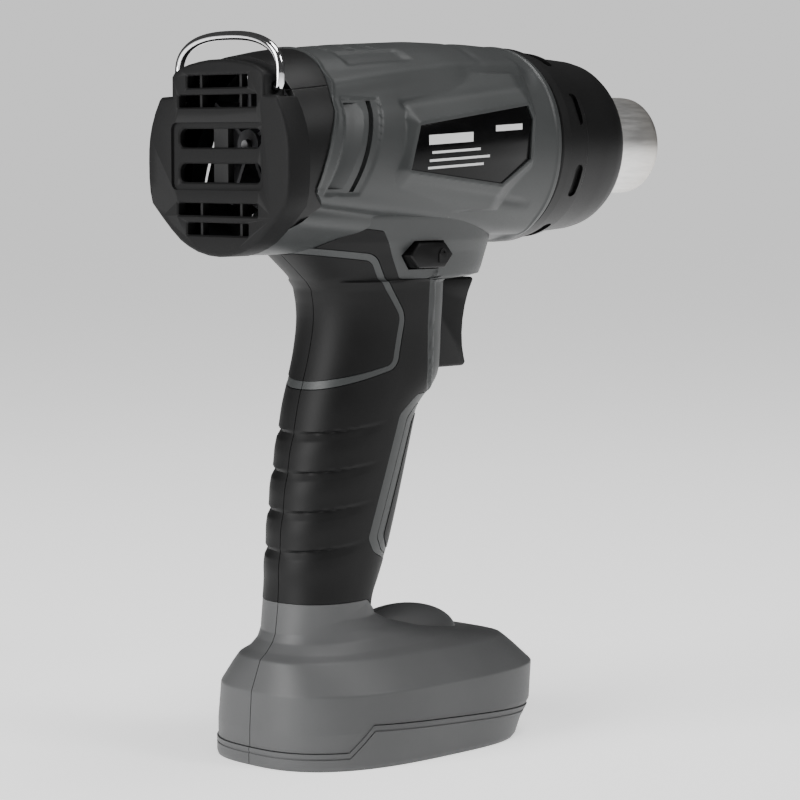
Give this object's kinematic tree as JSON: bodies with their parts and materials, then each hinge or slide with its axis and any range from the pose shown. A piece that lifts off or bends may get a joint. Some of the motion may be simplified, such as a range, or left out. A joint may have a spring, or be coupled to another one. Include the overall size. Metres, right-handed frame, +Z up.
{
  "type": "heat gun",
  "caption": "Cordless pistol-grip heat gun with a steel nozzle, vented rear cap, folding wire bail, sliding trigger and lock button, and a battery pack in the foot.",
  "frame": {"origin": "on the surface the foot stands on, under the middle of the gun's box", "axes": "+X from the vented rear cap to the nozzle mouth, +Z up, +Y to the gun's left; the seam of the two halves is the plane Y = 0"},
  "size_m": [0.2, 0.074, 0.2404],
  "materials": {
    "housing_grey": "fine textured moulding",
    "overmould": "matte soft overmould",
    "rear_grille": "fine matte texture",
    "black_shell": "smooth satin",
    "control_black": "satin",
    "chrome_wire": "polished",
    "nozzle_steel": "satin",
    "gloss_label": "glossy plate",
    "mica": "matte",
    "resistance_wire": "drawn wire",
    "motor_steel": "drawn",
    "armature_copper": "wound",
    "inner_plastic": "plain moulding",
    "circuit_board": "board",
    "pack_case": "textured moulding",
    "cell_wrap": "shrink wrap",
    "screw_steel": "blackened"
  },
  "bodies": {
    "housing": {"control_board": "circuit_board", "front_collar": "black_shell", "front_finger_pad": "overmould", "heat_shield": "nozzle_steel", "heater_base": "mica", "heater_coil": "resistance_wire", "heater_former": "mica", "housing_screw_1": "screw_steel", "housing_screw_2": "screw_steel", "housing_screw_3": "screw_steel", "housing_screw_4": "screw_steel", "housing_screw_5": "screw_steel", "housing_screw_6": "screw_steel", "left_grip_cover": "overmould", "left_housing": "housing_grey", "left_label_plate": "gloss_label", "left_thumb_panel": "overmould", "mica_sleeve": "mica", "motor_can": "motor_steel", "motor_mount": "inner_plastic", "nozzle_tube": "nozzle_steel", "rear_cap": "rear_grille", "rear_hood": "black_shell", "rear_shroud": "black_shell", "right_grip_cover": "overmould", "right_housing": "housing_grey", "right_label_plate": "gloss_label", "right_thumb_panel": "overmould", "switch_body": "inner_plastic", "terminal_block": "inner_plastic", "thermal_cutout": "motor_steel"},
    "bail": {"hanging_bail": "chrome_wire"},
    "fan_rotor": {"motor_shaft": "motor_steel", "motor_armature": "armature_copper", "fan_impeller": "inner_plastic"},
    "trigger_body": {"trigger": "control_black", "switch_plunger": "inner_plastic"},
    "lock": {"lock_button": "control_black"},
    "battery_pack": {"right_battery_case": "pack_case", "left_battery_case": "pack_case", "battery_cell_1": "cell_wrap", "battery_cell_2": "cell_wrap", "battery_cell_3": "cell_wrap", "battery_board": "circuit_board", "battery_contact_1": "armature_copper", "battery_contact_2": "armature_copper"},
    "release": {"release_button": "control_black"}
  },
  "joints": [
    {"name": "bail_fold", "type": "hinge", "parent": "housing", "child": "bail", "pos_m": [-0.0945, 0, 0.2222], "axis": [0, -1, 0], "range_deg": [0, 90]},
    {"name": "fan_spin", "type": "hinge", "parent": "housing", "child": "fan_rotor", "pos_m": [-0.062, 0, 0.204], "axis": [1, 0, 0], "continuous": true},
    {"name": "trigger_pull", "type": "slide", "parent": "housing", "child": "trigger_body", "axis": [-1, 0, 0], "range_m": [0, 0.0065], "stiffness_N_per_m": 900, "springref_m": -0.004},
    {"name": "lock_push", "type": "slide", "parent": "housing", "child": "lock", "axis": [0, 1, 0], "range_m": [0, 0.0045]},
    {"name": "pack_drop", "type": "slide", "parent": "housing", "child": "battery_pack", "axis": [0, 0, -1], "range_m": [0, 0.06]},
    {"name": "release_press", "type": "slide", "parent": "housing", "child": "release", "axis": [-1, 0, 0], "range_m": [0, 0.0025], "stiffness_N_per_m": 700, "springref_m": -0.003}
  ]
}
